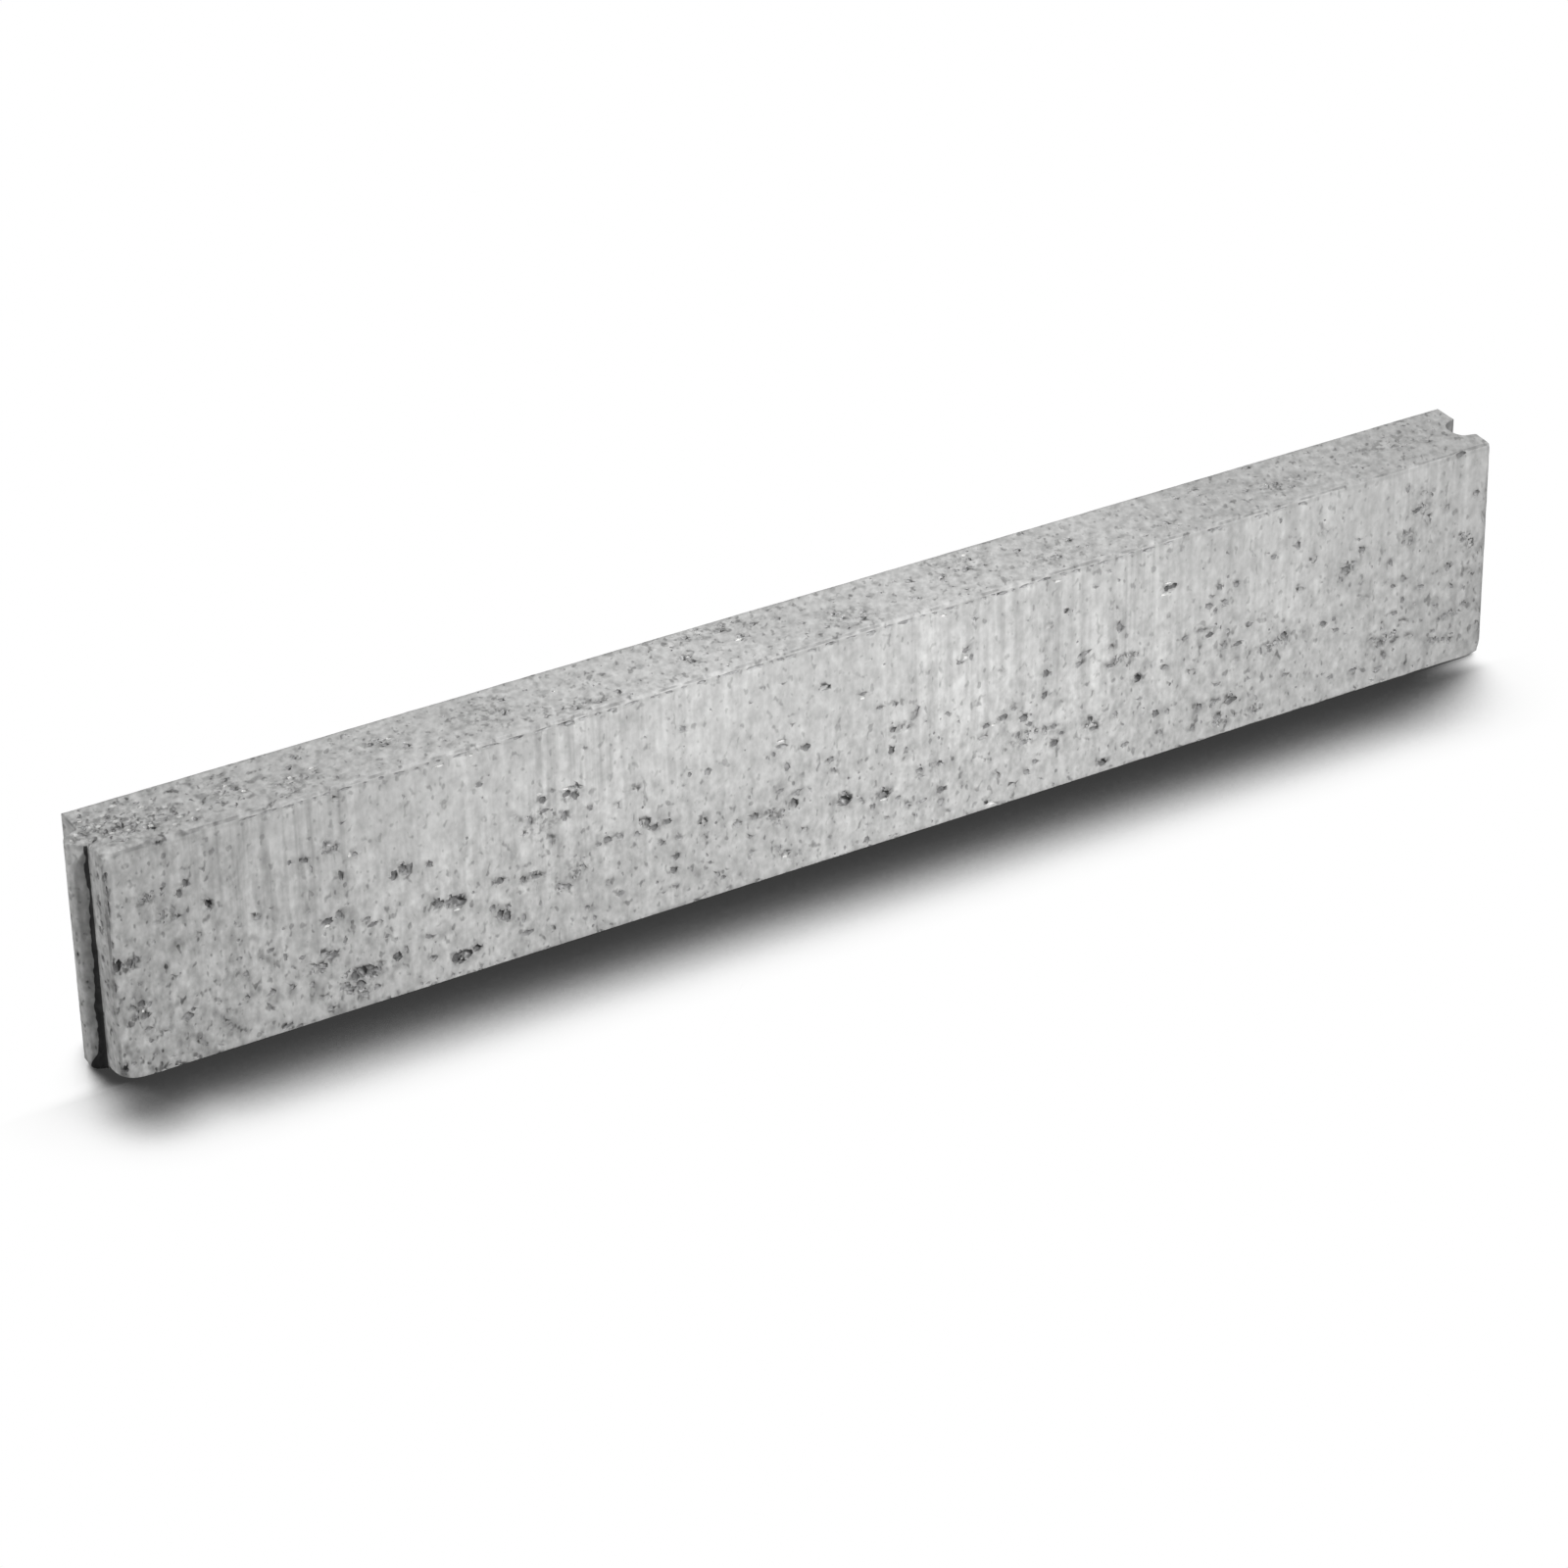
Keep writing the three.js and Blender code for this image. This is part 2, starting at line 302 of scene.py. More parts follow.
PLAIN_HOLES = [
    (16, 83, 4, 5), (14, 47, 3, 4), (13, 43, 4, 3), (22, 50, 3, 4), (174, 27, 4, 6), (36, 110, 2, 5),
    (252, 42, 5, 4), (44, 104, 2, 5), (96, 87, 5, 4), (133, 109, 2, 6), (119, 118, 3, 4), (143, 123, 2, 7),
    (150, 118, 3, 5), (162, 110, 4, 5), (151, 19, 6, 6), (197, 88, 4, 9), (211, 87, 5, 4), (138, 47, 8, 3),
    (149, 71, 5, 6), (103, 61, 6, 3), (112, 53, 3, 6), (82, 62, 4, 3), (86, 50, 4, 5), (123, 49, 5, 3),
    (132, 40, 5, 3), (135, 36, 5, 3), (152, 52, 3, 6), (167, 62, 6, 3), (171, 57, 8, 3), (180, 46, 3, 3),
    (102, 31, 5, 4), (115, 31, 4, 4), (128, 28, 4, 3), (99, 22, 3, 7), (69, 22, 3, 6), (73, 18, 4, 4),
    (46, 33, 8, 7), (50, 37, 3, 3), (20, 33, 5, 3), (23, 14, 3, 3), (148, 20, 5, 5), (154, 16, 6, 4),
    (163, 9, 6, 4), (171, 12, 5, 4), (192, 33, 3, 3), (208, 36, 5, 3), (210, 20, 6, 4), (139, 7, 4, 4),
    (110, 4, 8, 3), (118, 1, 6, 3), (247, 132, 5, 4), (296, 112, 3, 3), (280, 95, 4, 8), (290, 100, 6, 3),
    (294, 78, 3, 8), (304, 92, 3, 8), (322, 92, 4, 4), (299, 43, 7, 4), (304, 41, 5, 4), (273, 28, 3, 6),
    (317, 21, 4, 4), (322, 12, 3, 4), (341, 24, 4, 4), (327, 64, 4, 3), (342, 65, 5, 5), (354, 63, 4, 4),
    (370, 52, 4, 4), (383, 51, 6, 3), (388, 128, 5, 4), (405, 92, 5, 5), (392, 94, 3, 4), (410, 15, 4, 4),
    (414, 12, 4, 3), (425, 48, 4, 6), (434, 35, 4, 3), (434, 24, 4, 4), (456, 62, 7, 3), (468, 57, 7, 3),
    (458, 94, 9, 3), (452, 90, 3, 4), (461, 78, 4, 6), (455, 20, 2, 5), (459, 16, 4, 3), (493, 73, 5, 4),
    (495, 65, 4, 4), (502, 46, 3, 3), (515, 37, 3, 4), (517, 114, 6, 3), (529, 100, 5, 2), (540, 100, 3, 4),
    (546, 82, 4, 2), (549, 63, 3, 5), (556, 88, 3, 9), (524, 29, 3, 6), (542, 30, 4, 4), (549, 23, 4, 3),
    (560, 22, 9, 3), (519, 6, 4, 6), (558, 45, 6, 4), (559, 41, 4, 3), (573, 46, 3, 4), (574, 17, 5, 4),
    (593, 123, 5, 4), (588, 115, 4, 3), (597, 117, 3, 5), (629, 69, 4, 3), (641, 54, 4, 4), (632, 48, 4, 6),
    (636, 42, 7, 4), (652, 47, 4, 6), (659, 47, 6, 3), (665, 40, 4, 3), (645, 25, 4, 4), (639, 19, 5, 4),
    (681, 94, 9, 3), (678, 87, 5, 4), (709, 105, 4, 8), (707, 41, 4, 6), (714, 16, 6, 4), (747, 31, 4, 4),
    (742, 17, 4, 4), (744, 65, 6, 3), (828, 123, 5, 4), (847, 126, 4, 7), (786, 112, 4, 6), (799, 111, 5, 4),
    (778, 101, 6, 5), (791, 100, 5, 4), (783, 96, 3, 5), (760, 82, 6, 4), (772, 84, 5, 3), (793, 78, 4, 4),
    (810, 78, 6, 4), (791, 68, 4, 5), (820, 55, 2, 6), (826, 54, 3, 6), (833, 58, 3, 6), (840, 57, 3, 6),
    (880, 53, 5, 3), (878, 62, 3, 4), (898, 108, 5, 4), (892, 100, 6, 3), (882, 90, 3, 5), (934, 143, 3, 6),
    (932, 110, 3, 5), (932, 104, 3, 4), (938, 104, 3, 6), (922, 92, 3, 6), (925, 73, 5, 3), (927, 52, 6, 3),
    (947, 66, 6, 4), (973, 59, 4, 3), (980, 92, 4, 4), (990, 125, 5, 3), (783, 28, 6, 3), (787, 15, 7, 4),
    (793, 9, 4, 3), (767, 12, 4, 4), (812, 13, 3, 4), (816, 10, 5, 3), (817, 20, 3, 5), (786, 40, 6, 3),
    (840, 31, 5, 3), (910, 37, 4, 3), (928, 32, 4, 3), (920, 22, 3, 5), (915, 13, 6, 3), (895, 18, 6, 3),
    (876, 18, 4, 3), (957, 23, 4, 3), (963, 21, 5, 3), (968, 20, 4, 3), (963, 36, 3, 4), (969, 38, 5, 3),
    (976, 37, 4, 2), (984, 43, 4, 4), (933, 76, 5, 5), (933, 60, 4, 5), (969, 75, 5, 6),
]
SHALLOW_HOLES = [
    (8, 115, 3, 4), (26, 123, 3, 6), (35, 126, 3, 5), (80, 119, 3, 6), (58, 87, 4, 4), (129, 80, 4, 3),
    (38, 64, 4, 4), (53, 17, 4, 5), (66, 36, 5, 4), (85, 32, 5, 6), (152, 152, 7, 3), (176, 57, 4, 4),
    (137, 16, 5, 4), (270, 102, 6, 4), (314, 50, 9, 8), (340, 88, 5, 5), (352, 95, 6, 4), (292, 14, 4, 6),
    (333, 34, 5, 5), (401, 57, 3, 8), (401, 45, 3, 6), (451, 44, 9, 8), (473, 28, 6, 4), (489, 127, 8, 4),
    (605, 55, 9, 3), (619, 98, 6, 7), (628, 11, 9, 6), (616, 23, 6, 5), (609, 37, 4, 4), (655, 122, 6, 5),
    (671, 128, 5, 5), (712, 82, 7, 5), (722, 82, 6, 4), (703, 92, 4, 6), (800, 54, 7, 4), (766, 55, 6, 5),
    (850, 92, 6, 5), (902, 71, 8, 4), (951, 116, 4, 9), (947, 137, 6, 4), (966, 120, 5, 7), (985, 67, 9, 4),
    (992, 78, 4, 6), (997, 62, 2.5, 10), (996, 80, 2.5, 9), (997, 104, 2.5, 12), (997, 122, 2.5, 8),
    (935, 43, 9, 3), (918, 45, 3, 7), (940, 30, 7, 5), (996, 36, 3, 8), (996, 22, 4, 8), (987, 88, 6, 8),
    (860, 112, 4, 7), (868, 130, 5, 6),
]
# Flakes where the skin has come off and pale fresh concrete shows, partly a painted highlight on pit lips:
# along, up, width, height.
FLAKES = [
    (744, 119.8, 9, 2.6), (746, 127.2, 5, 1.2), (593, 118, 3, 3), (613.5, 62, 3, 3), (612, 4, 7, 3),
    (222, 153.4, 6, 1.4), (243, 154, 3, 1.2), (577, 153, 4, 2), (662, 153, 6, 2.2), (458, 98, 6, 1.4),
    (288, 113, 4, 2.4), (306, 111, 7, 2), (159, 111, 3, 4), (141, 66, 4, 2.4), (517, 111, 4, 2),
    (459, 13, 4, 2), (532, 32, 6, 2), (18, 47, 2.4, 2.4), (228, 49, 5, 2),
]
# Nests of pits: along, up, spread along, spread up, how many, size of each.
FRONT_NESTS = [
    (10, 81, 12, 7, 3, 1.3), (17, 47, 9, 10, 3, 1.4), (26, 122, 16, 8, 4, 1.1), (38, 106, 14, 10, 3, 1.0),
    (146, 121, 10, 9, 3, 1.2), (166, 24, 16, 9, 8, 1.7), (160, 13, 20, 7, 4, 1.3), (132, 39, 18, 9, 4, 1.2),
    (192, 89, 10, 7, 2, 1.3), (222, 55, 18, 7, 7, 1.6), (230, 15, 13, 6, 5, 1.8), (308, 106, 12, 6, 3, 1.5),
    (288, 92, 20, 16, 5, 1.2), (259, 35, 10, 9, 4, 1.5), (283, 55, 18, 4, 3, 1.3), (301, 43, 12, 5, 3, 1.4),
    (312, 52, 14, 12, 5, 1.1), (332, 65, 14, 4, 2, 1.2), (364, 66, 14, 6, 2, 1.3), (453, 45, 16, 12, 5, 1.2),
    (502, 41, 10, 7, 3, 1.5), (546, 82, 16, 6, 3, 1.1), (532, 37, 14, 6, 2, 1.4), (568, 46, 16, 5, 2, 1.2),
    (636, 44, 16, 10, 5, 1.2), (657, 46, 12, 6, 2, 1.2), (712, 81, 18, 6, 5, 1.3), (689, 40, 14, 8, 3, 1.2),
    (779, 82, 12, 5, 2, 1.2), (828, 57, 22, 10, 6, 1.2), (888, 96, 12, 8, 3, 1.3), (936, 107, 10, 10, 3, 1.1),
    (947, 126, 10, 14, 4, 1.2), (786, 27, 20, 5, 3, 1.4), (788, 12, 18, 7, 5, 1.2), (816, 12, 12, 7, 4, 1.2),
    (918, 33, 16, 7, 3, 1.2), (964, 21, 16, 6, 3, 1.2), (974, 38, 14, 4, 2, 1.2), (985, 90, 10, 12, 3, 1.0),
]


def on_front(along, up, sink=0.0):
    return Vector((left_shoulder + along * MM, front + sink * MM, bed + up * MM))


# The middle of a hole is sunk in the face by a share of its depth.
SUNK = 0.2
FLAKE_DEPTH = 0.8


def hole(face_place, along, up, width, height, depth, sway, face="y", slot=WALL):
    """A blow hole, in millimetres, that leans either way by up to `sway`."""
    voids.carve(face_place(along, up, SUNK * depth), 0.5 * width * MM, 0.5 * height * MM, depth * MM,
                tilt=rand.uniform(-sway, sway), face=face, slot=slot)


# Dust and painted shade in and round a hole.
def dust_and_shade_hole(face_place, along, up, width, height, amount):
    voids.dust_and_shade(face_place(along, up), 0.5 * width * MM, 0.5 * height * MM, amount)


def flake(face_place, along, up, width, height, face="y"):
    voids.carve(face_place(along, up), 0.5 * width * MM, 0.5 * height * MM, FLAKE_DEPTH * MM, face=face,
                slot=FRESH_AND_HIGHLIGHT)


def mostly_near(nearest, spread, lean):
    """A place from the nearest one on: the more it leans, the more often it is a near one."""
    return nearest + spread * rand.random() ** lean


# Each kind of hole: how deep it is for its size, how much dust and painted shade it holds,
# and what its wall is.
FRONT_HOLES = ((DARK_HOLES, 0.5, 1.3, WALL), (DEEP_HOLES, 0.22, 0.95, WALL), (PLAIN_HOLES, 0.13, 0.6, WALL),
               (SHALLOW_HOLES, 0.09, 0.6, SKIN))
NEST_SPREAD = 0.32
WORM_HEADINGS = (-0.4, 1.9)
FRONT_PORES = 210
for holes, hollowness, dust_and_shade, slot in FRONT_HOLES:
    for along, up, width, height in holes:
        depth = hollowness * (width * height) ** 0.5
        hole(on_front, along, up, width, height, depth, sway=0.3, slot=slot)
        dust_and_shade_hole(on_front, along, up, width, height, dust_and_shade)
for spot in FLAKES:
    flake(on_front, *spot)
for along, up, length, height, count, size in FRONT_NESTS:
    for _ in range(count):
        place = on_front(along + rand.gauss(0, NEST_SPREAD) * length, up + rand.gauss(0, NEST_SPREAD) * height,
                         sink=0.2)
        voids.worm(place, rand.uniform(*WORM_HEADINGS), size * rand.uniform(0.75, 1.1) * MM,
                   links=rand.randint(1, 3))
for _ in range(FRONT_PORES):
    up = mostly_near(0, 150, lean=1.6)
    size = rand.uniform(0.7, 1.3)
    place = on_front(mostly_near(0, LENGTH, lean=1.15), max(3, up), sink=0.1)
    voids.carve(place, size * MM, size * rand.uniform(0.8, 1.6) * MM, size * 0.5 * MM,
                tilt=rand.uniform(-0.5, 0.5), fine=True)

# Along the upper front arris, and in part down the left one, the fin that the mould left has broken off
# in a dashed line. The upper one thins out to the right, and the left one is closest in its upper part.
DASHES_FROM, DASHES_THIN, DASHES_TO = 88.0, 740, 850.0
FIN_LEVEL = 157.0
THIN_GAPS = 4
along = DASHES_FROM
while along < DASHES_TO:
    dash = rand.choice((3.0, 5.0, 8.0, 13.0))
    place = on_front(along + dash / 2, FIN_LEVEL + rand.uniform(-0.7, 0.4), sink=0.1)
    voids.carve(place, along=0.5 * dash * MM, up=rand.uniform(0.8, 1.3) * MM, depth=0.7 * MM, fine=True)
    along += dash + rand.uniform(0.5, 7.0) * (1 if along < DASHES_THIN else THIN_GAPS)
LEFT_FROM, LEFT_CLOSE, LEFT_TO = 64.0, 105, 148.0
LEFT_FIN = 1.8
up = LEFT_FROM
while up < LEFT_TO:
    dash = rand.uniform(5.0, 12.0)
    place = on_front(LEFT_FIN + rand.uniform(-0.4, 0.4), up + dash / 2, sink=0.2)
    voids.carve(place, along=0.8 * MM, up=0.5 * dash * MM, depth=0.9 * MM, fine=True)
    # Dust and painted shade lie in these dashes.
    voids.dust_and_shade(place, along=0.2 * MM, up=0.5 * dash * MM, amount=0.8)
    up += dash + (rand.uniform(0.5, 2.0) if up > LEFT_CLOSE else rand.uniform(3.0, 9.0))

# The top face, in millimetres from the left shoulder and back from the front face.
TOP_HOLES = [
    (146, 45, 4, 5), (139, 36, 4, 6), (100, 43, 3, 5), (100, 30, 4, 5), (26, 27, 3, 7), (37, 18, 4, 6),
    (66, 11, 3, 5), (1, 30, 4, 6), (21, 40, 4, 4), (33, 24, 3, 6), (15, 26, 3, 5), (58, 23, 4, 4),
    (193, 35, 4, 4), (200, 30, 6, 4), (211, 22, 4, 5), (285, 41, 4, 5), (279, 26, 3, 7), (351, 13, 4, 5),
    (319, 8, 5, 4), (335, 8, 3, 5), (405, 28, 5, 7), (408, 22, 4, 5), (418, 50, 5, 4), (440, 46, 5, 4),
    (449, 34, 4, 5), (463, 43, 5, 4), (480, 41, 5, 4), (512, 28, 4, 4), (514, 20, 4, 4), (525, 14, 7, 4),
    (567, 18, 5, 4), (575, 40, 4, 5), (595, 33, 5, 4), (614, 34, 4, 5), (622, 44, 4, 4), (655, 38, 4, 5),
    (673, 17, 4, 4), (690, 33, 3, 5), (756, 19, 3, 6), (853, 18, 4, 4), (846, 27, 4, 4), (842, 55, 6, 4),
]
TOP_NESTS = [
    (25, 28, 50, 26, 34), (95, 32, 22, 20, 5), (130, 18, 22, 16, 4), (197, 33, 20, 12, 4), (268, 32, 30, 20, 5),
    (320, 10, 30, 10, 4), (408, 26, 14, 14, 3), (430, 50, 50, 12, 7), (520, 20, 28, 14, 4),
    (612, 40, 30, 20, 4), (670, 20, 24, 18, 3), (850, 24, 26, 16, 3), (940, 34, 40, 14, 4),
]
# Flakes of pale fresh concrete on the top, partly painted highlight on the lips of its pits.
TOP_FLAKES = [
    (20, 43, 4, 3), (40, 18, 4, 4), (35, 25, 3, 3), (59, 18, 4, 3), (65, 12, 3, 4), (8, 35, 3, 3),
    (30, 50, 4, 3), (48, 30, 3, 4), (-7, 26, 2, 4), (-4, 21, 4, 2), (-2, 31, 3, 4), (3, 22, 3, 3),
    (6, 44, 3, 2), (13, 33, 4, 3), (17, 22, 3, 3), (24, 33, 3, 4), (27, 20, 3, 3), (44, 40, 4, 3),
    (53, 12, 3, 3), (72, 20, 4, 3), (56, 33, 3, 3), (12, 3, 8, 1.6), (27, 2.4, 6, 1.4), (97, 36, 3, 4),
    (104, 25, 3, 3), (134, 24, 3, 5), (408, 27, 3, 3), (446, 30, 5, 3), (622, 50, 4, 3), (150, 28, 4, 3),
    (205, 35, 3, 3),
]


def on_top(along, across, sink=0.0):
    return Vector((left_shoulder + along * MM, front + across * MM, top - sink * MM))


TOP_HOLLOWNESS, TOP_DUST_AND_SHADE = 0.34, 0.55
TOP_NEST_SPREAD, TOP_HEADINGS = 0.33, (-0.6, 0.9)
TOP_MARGINS = (4.0, 56.0)
TOP_PORES = 150
for along, across, width, height in TOP_HOLES:
    depth = TOP_HOLLOWNESS * (width * height) ** 0.5
    hole(on_top, along, across, width, height, depth, sway=0.6, face="z")
    dust_and_shade_hole(on_top, along, across, width, height, TOP_DUST_AND_SHADE)
for spot in TOP_FLAKES:
    flake(on_top, *spot, face="z")
for along, across, length, width, count in TOP_NESTS:
    for _ in range(count):
        across_at = max(TOP_MARGINS[0], min(TOP_MARGINS[1], across + rand.gauss(0, TOP_NEST_SPREAD) * width))
        place = on_top(max(3.0, along + rand.gauss(0, TOP_NEST_SPREAD) * length), across_at, sink=0.2)
        voids.worm(place, rand.uniform(*TOP_HEADINGS), rand.uniform(0.8, 1.3) * MM, links=rand.randint(1, 3),
                   face="z")
for _ in range(TOP_PORES):
    size = rand.uniform(0.6, 1.2)
    place = on_top(rand.uniform(3, 985), rand.uniform(3, 57), sink=0.1)
    voids.carve(place, size * MM, size * MM, size * 0.8 * MM, face="z", tilt=rand.uniform(-1.5, 1.5), fine=True)


# The back has the same kinds of voids, strewn at random and fewer, and the end faces have a few small ones.
def on_back(along, up, sink=0.0):
    return Vector((left_shoulder + along * MM, back - sink * MM, bed + up * MM))


BACK_HOLES, BACK_NESTS, BACK_PORES, END_HOLES = 130, 22, 110, 14
for _ in range(BACK_HOLES):
    width, height = rand.uniform(2.5, 6.0), rand.uniform(2.5, 6.0)
    depth = rand.uniform(0.12, 0.30) * (width * height) ** 0.5
    along, up = rand.uniform(6, 994), mostly_near(5, 148, lean=1.4)
    hole(on_back, along, up, width, height, depth, sway=0.3)
    dust_and_shade_hole(on_back, along, up, width, height, rand.uniform(0.4, 1.1))
for _ in range(BACK_NESTS):
    along, up = rand.uniform(15, 985), mostly_near(12, 110, lean=1.4)
    for _ in range(rand.randint(2, 5)):
        place = on_back(along + rand.gauss(0, 4.5), up + rand.gauss(0, 2.5), sink=0.2)
        voids.worm(place, rand.uniform(*WORM_HEADINGS), rand.uniform(0.9, 1.5) * MM, links=rand.randint(1, 3),
                   fine=True)
for _ in range(BACK_PORES):
    size = rand.uniform(0.7, 1.3)
    place = on_back(rand.uniform(4, 996), mostly_near(4, 148, lean=1.5), sink=0.1)
    voids.carve(place, size * MM, size * rand.uniform(0.8, 1.6) * MM, size * 0.5 * MM, fine=True)
for shoulder in (left_shoulder, right_shoulder):
    for _ in range(END_HOLES):
        across = rand.choice((rand.uniform(5, 12), rand.uniform(45, 55)))
        place = Vector((shoulder, front + across * MM, bed + rand.uniform(8, 152) * MM))
        size = rand.uniform(1.0, 2.2) * MM
        voids.carve(place, size, size * rand.uniform(0.8, 1.5), 0.5 * size, face="x")
        voids.dust_and_shade(place, size, size, amount=0.7)

# The lower front arris is nicked here and there.
NICKS = (40, 111, 441, 774)
MORE_NICKS = 22
for along in (*NICKS, *(rand.uniform(20, 980) for _ in range(MORE_NICKS))):
    place = on_front(along, rand.uniform(0.2, 1.1), sink=0.2)
    voids.carve(place, along=rand.uniform(1.2, 3.2) * MM, up=rand.uniform(0.6, 1.1) * MM, depth=0.9 * MM,
                fine=True)

# Both sides of each cut carry the same slots: the skin that touched the mould, void walls with painted shade,
# and fresh flakes with painted highlight.
skin = bpy.data.materials.new("concrete_skin")
void_wall = bpy.data.materials.new("concrete_void_wall")
fresh_and_highlight = bpy.data.materials.new("concrete_fresh_and_highlight")
for material in (skin, void_wall, fresh_and_highlight):
    kerb.data.materials.append(material)
layers = []
for number, (_, bm) in enumerate(voids.layers):
    layer_mesh = bpy.data.meshes.new(f"voids_{number}")
    bm.to_mesh(layer_mesh)
    bm.free()
    for material in (skin, void_wall, fresh_and_highlight):
        layer_mesh.materials.append(material)
    layer = bpy.data.objects.new(f"voids_{number}", layer_mesh)
    bpy.context.scene.collection.objects.link(layer)
    layers.append(layer)
    cut = kerb.modifiers.new(f"cut_{number}", "BOOLEAN")
    cut.operation = "DIFFERENCE"
    cut.solver = "MANIFOLD"
    cut.object = layer
graph = bpy.context.evaluated_depsgraph_get()
pitted = bpy.data.meshes.new_from_object(kerb.evaluated_get(graph))
kerb.modifiers.clear()
kerb.data = pitted
for layer in layers:
    bpy.data.objects.remove(layer)

# Where voids meet, the cuts leave a few crumbs hanging free inside them: all that the stone doesn't hold goes.
whole = bmesh.new()
whole.from_mesh(pitted)
crumbs = set(whole.verts)
held = [max(whole.verts, key=lambda vertex: vertex.co.x)]
while held:
    for edge in held.pop().link_edges:
        for vertex in edge.verts:
            if vertex in crumbs:
                crumbs.remove(vertex)
                held.append(vertex)
bmesh.ops.delete(whole, geom=list(crumbs), context="VERTS")
whole.to_mesh(pitted)
whole.free()
SHARP_EDGE = radians(38)
for polygon in pitted.polygons:
    polygon.use_smooth = True
pitted.set_sharp_from_angle(angle=SHARP_EDGE)


# How much painted shade each spot gets: the skin is painted darker round the nests. Dust and painted
# shade lie in the holes and just round them, and each spot looks for them only in the holes within a step
# or two along the stone.
def out_by(offset, length, height):
    """0 in the middle of a spot, and 1 where the offset is its length or height."""
    return (offset.x / length) ** 2 + (offset.y ** 2 + offset.z ** 2) / height ** 2


# How far out, by that measure, the painted shade round the nests and the dust and painted shade end.
NEST_SHADE_REACH = 0.8
DUST_AND_SHADE_REACH = 1.4
STEP = 20 * MM
nest_shade = pitted.attributes.new("nest_shade", "FLOAT", "POINT")
dust_and_shade = pitted.attributes.new("dust_and_shade", "FLOAT", "POINT")
dust_and_shade_by_step = {}
for spot in voids.dust_and_shade_spots:
    for step in (-1, 0, 1):
        dust_and_shade_by_step.setdefault(round(spot[0].x / STEP) + step, []).append(spot)
nests = [(on_front(along, up), length * MM, height * MM) for along, up, length, height, *_ in FRONT_NESTS]
nests += [(on_top(along, across), length * MM, width * MM) for along, across, length, width, _ in TOP_NESTS]
for vertex in pitted.vertices:
    nest_shaded, dust_and_shade_here = 0.0, 0.0
    for centre, length, height in nests:
        if abs(vertex.co.x - centre.x) < length:
            nest_shaded = max(nest_shaded, 1.0 - out_by(vertex.co - centre, length, height) / NEST_SHADE_REACH)
    for centre, length, height, most in dust_and_shade_by_step.get(round(vertex.co.x / STEP), []):
        dust_and_shade_here = max(dust_and_shade_here, most * min(1.0, DUST_AND_SHADE_REACH - out_by(vertex.co - centre, length, height)))
    nest_shade.data[vertex.index].value = nest_shaded
    dust_and_shade.data[vertex.index].value = dust_and_shade_here
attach(kerb, "root")
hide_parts("kerb_stone")


# ---------------------------------------------------------------------------------------------
# The concrete. Light grey cement paste with fine sand, matt, and drawn into upright streaks
# where the stone slid out of the mould. Void walls are rougher, with dust and painted shade in them.
# ---------------------------------------------------------------------------------------------
def feed(tree, made, inputs):
    """Gives each input of a node its value, or links it to an output socket."""
    for name, value in inputs.items():
        if isinstance(value, bpy.types.NodeSocket):
            tree.links.new(value, made.inputs[name])
        else:
            made.inputs[name].default_value = value


def node(tree, kind, inputs=None, **settings):
    made = tree.nodes.new(kind)
    for name, value in settings.items():
        setattr(made, name, value)
    feed(tree, made, inputs or {})
    return made


def math(tree, operation, a, b=0.0):
    return node(tree, "ShaderNodeMath", {0: a, 1: b}, operation=operation).outputs[0]


def times(tree, product, *others):
    for other in others:
        product = math(tree, "MULTIPLY", product, other)
    return product


def darken(tree, tone, share):
    return times(tree, tone, math(tree, "SUBTRACT", 1.0, share))


def ramp(tree, value, start, end, at_start=0.0, at_end=1.0):
    """Goes smoothly from one level to the other while the value goes from start to end."""
    return node(tree, "ShaderNodeMapRange", {"Value": value, "From Min": start, "From Max": end,
                                             "To Min": at_start, "To Max": at_end},
                interpolation_type="SMOOTHSTEP").outputs[0]


def fade(tree, value, start, end, level=1.0):
    return ramp(tree, value, start, end, level, 0.0)


def speckle(tree, place, scale, stretch=(1, 1, 1), detail=2.0, roughness=0.5):
    spread = node(tree, "ShaderNodeVectorMath", {0: place, 1: stretch}, operation="MULTIPLY").outputs[0]
    return node(tree, "ShaderNodeTexNoise", {"Vector": spread, "Scale": scale, "Detail": detail,
                                             "Roughness": roughness}).outputs["Fac"]


def painted(tree, name):
    return node(tree, "ShaderNodeAttribute", attribute_name=name).outputs["Fac"]


# Sand and cement paste: a group that all three surfaces use, each with its own values.
FINE_SAND, COARSE_SAND, PINHOLE = 350.0, 150.0, 240.0
SAND_RELIEF = 0.4
grain = bpy.data.node_groups.new("sand_and_paste", "ShaderNodeTree")
for name, kind, flow in (("Place", "NodeSocketVector", "INPUT"), ("Sand", "NodeSocketFloat", "INPUT"),
                         ("Blotches", "NodeSocketFloat", "INPUT"), ("Pinholes", "NodeSocketFloat", "INPUT"),
                         ("Tone", "NodeSocketFloat", "OUTPUT"), ("Height", "NodeSocketFloat", "OUTPUT")):
    grain.interface.new_socket(name, in_out=flow, socket_type=kind)
given = grain.nodes.new("NodeGroupInput").outputs
fine = math(grain, "SUBTRACT", speckle(grain, given["Place"], FINE_SAND, roughness=0.45), 0.5)
coarse = math(grain, "SUBTRACT", speckle(grain, given["Place"], COARSE_SAND), 0.5)
holes = fade(grain, speckle(grain, given["Place"], PINHOLE, detail=1.0), 0.26, 0.40)
sand = times(grain, fine, given["Sand"])
blotches = times(grain, coarse, given["Blotches"])
pinholes = times(grain, holes, given["Pinholes"])
tone = math(grain, "ADD", math(grain, "ADD", sand, blotches), 1.0)
relief = math(grain, "ADD", times(grain, sand, SAND_RELIEF), blotches)
